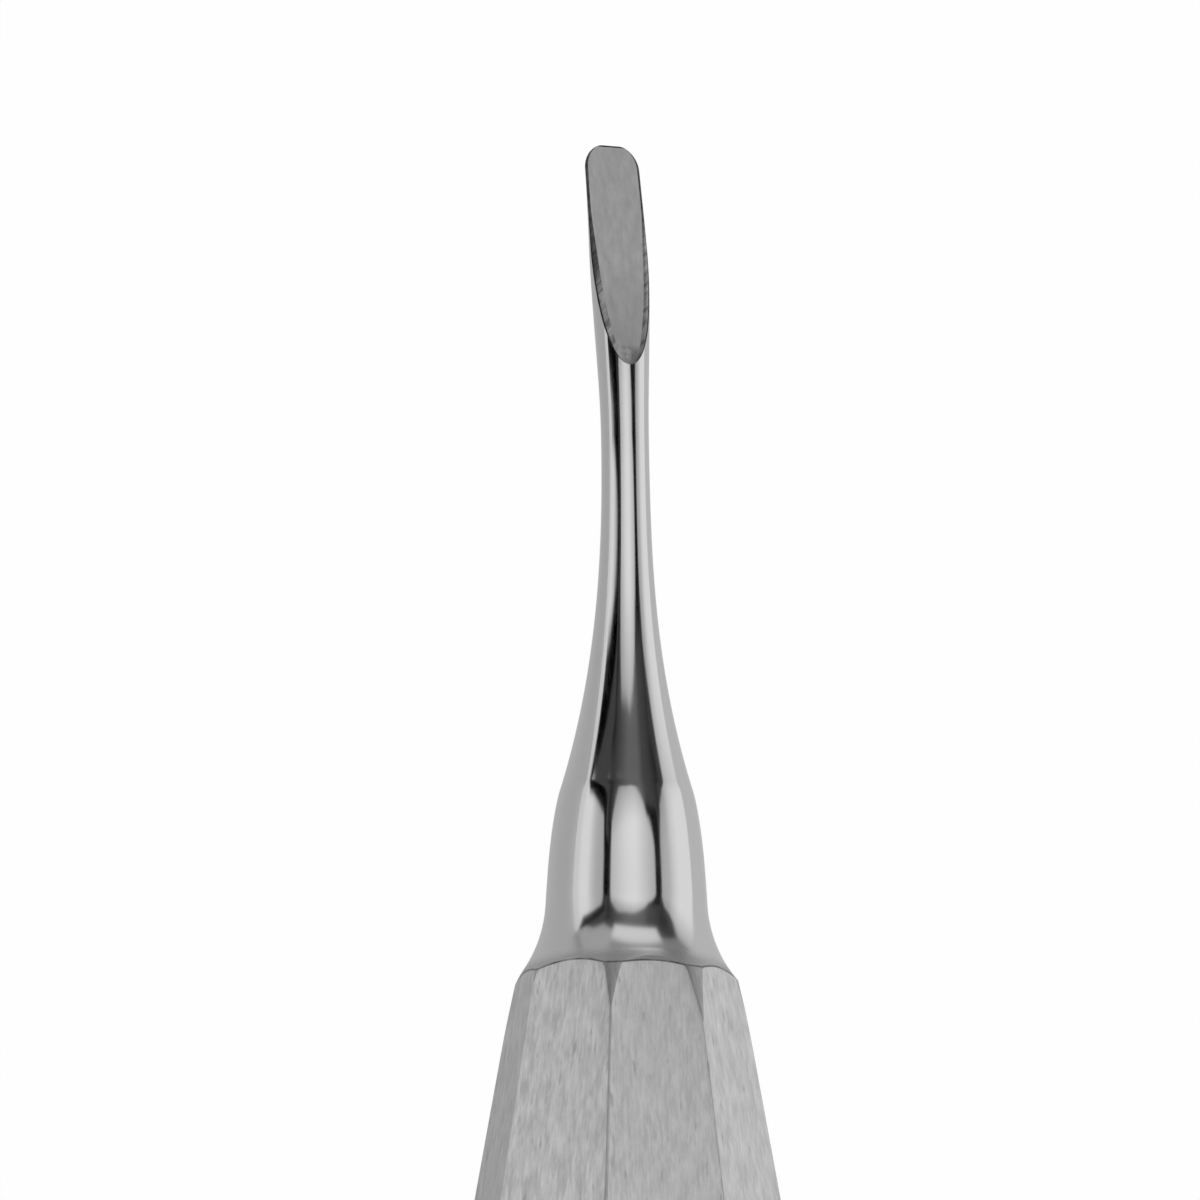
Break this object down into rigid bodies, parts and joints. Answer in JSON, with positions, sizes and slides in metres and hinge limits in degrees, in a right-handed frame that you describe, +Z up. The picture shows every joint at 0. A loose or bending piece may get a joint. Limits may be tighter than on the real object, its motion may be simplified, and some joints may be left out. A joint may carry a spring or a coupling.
{
  "type": "luxating elevator",
  "caption": "Dental luxating elevator: a thin ground blade on a shank bent back, in a hollow eight-sided steel handle that fills the palm.",
  "frame": {"origin": "on the handle's lowest flat, midway along its straight rear stretch, where the instrument rests", "axes": "+Y along the instrument towards the blade's tip, +Z up with the ground face of the blade upwards, X across it"},
  "size_m": [0.0178, 0.1505, 0.0178],
  "materials": {
    "polished_steel": "polished",
    "satin_steel": "satin"
  },
  "bodies": {
    "root": {"working_end": "polished_steel", "hollow_handle": "satin_steel"}
  },
  "joints": []
}
